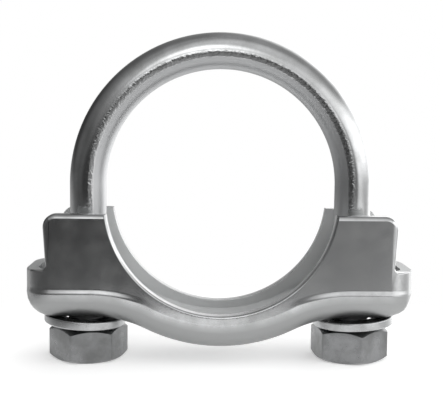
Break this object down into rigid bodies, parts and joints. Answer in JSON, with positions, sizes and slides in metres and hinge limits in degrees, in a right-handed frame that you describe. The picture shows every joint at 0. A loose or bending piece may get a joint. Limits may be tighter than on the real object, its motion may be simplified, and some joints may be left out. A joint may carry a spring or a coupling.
{
  "type": "exhaust clamp",
  "caption": "U-bolt exhaust clamp: a bent steel bar through a pressed channel saddle, drawn up on the pipe by a nut and washer on each leg.",
  "frame": {"origin": "on the axis of the pipe that the saddle seats, at the middle of the saddle's depth", "axes": "+Y along the pipe, +X across the two legs, +Z from the saddle towards the bow"},
  "size_m": [0.094, 0.0216, 0.0802],
  "materials": {
    "pressed_steel": "bright zinc plate on pressed sheet",
    "bar_steel": "bright zinc plate on drawn bar",
    "washer_steel": "bright zinc plate on stamped washers",
    "nut_steel": "bright zinc plate on forged nuts"
  },
  "bodies": {
    "saddle": {"saddle": "pressed_steel"},
    "u_bolt": {"u_bolt": "bar_steel"},
    "left_washer": {"left_washer": "washer_steel"},
    "right_washer": {"right_washer": "washer_steel"},
    "left_nut": {"left_nut": "nut_steel"},
    "right_nut": {"right_nut": "nut_steel"}
  },
  "joints": [
    {"name": "left_nut_turn", "type": "hinge", "parent": "saddle", "child": "left_nut", "pos_m": [-0.0327, 0, -0.036], "axis": [0, 0, 1], "range_deg": [0, 960]},
    {"name": "right_nut_turn", "type": "hinge", "parent": "saddle", "child": "right_nut", "pos_m": [0.0327, 0, -0.036], "axis": [0, 0, 1], "range_deg": [0, 960]},
    {"name": "bolt_draw", "type": "slide", "parent": "saddle", "child": "u_bolt", "axis": [0, 0, -1], "range_m": [0, 0.004]},
    {"name": "left_washer_spin", "type": "hinge", "parent": "saddle", "child": "left_washer", "pos_m": [-0.0336, 0, -0.03027], "axis": [0.0596, 0, 0.9982], "continuous": true},
    {"name": "right_washer_spin", "type": "hinge", "parent": "saddle", "child": "right_washer", "pos_m": [0.0336, 0, -0.03027], "axis": [-0.0596, 0, 0.9982], "continuous": true}
  ],
  "couplings": [
    {"joint": "right_nut_turn", "follows": "left_nut_turn", "ratio": 1},
    {"joint": "bolt_draw", "follows": "left_nut_turn", "m_per_rad": 0.00023873}
  ]
}
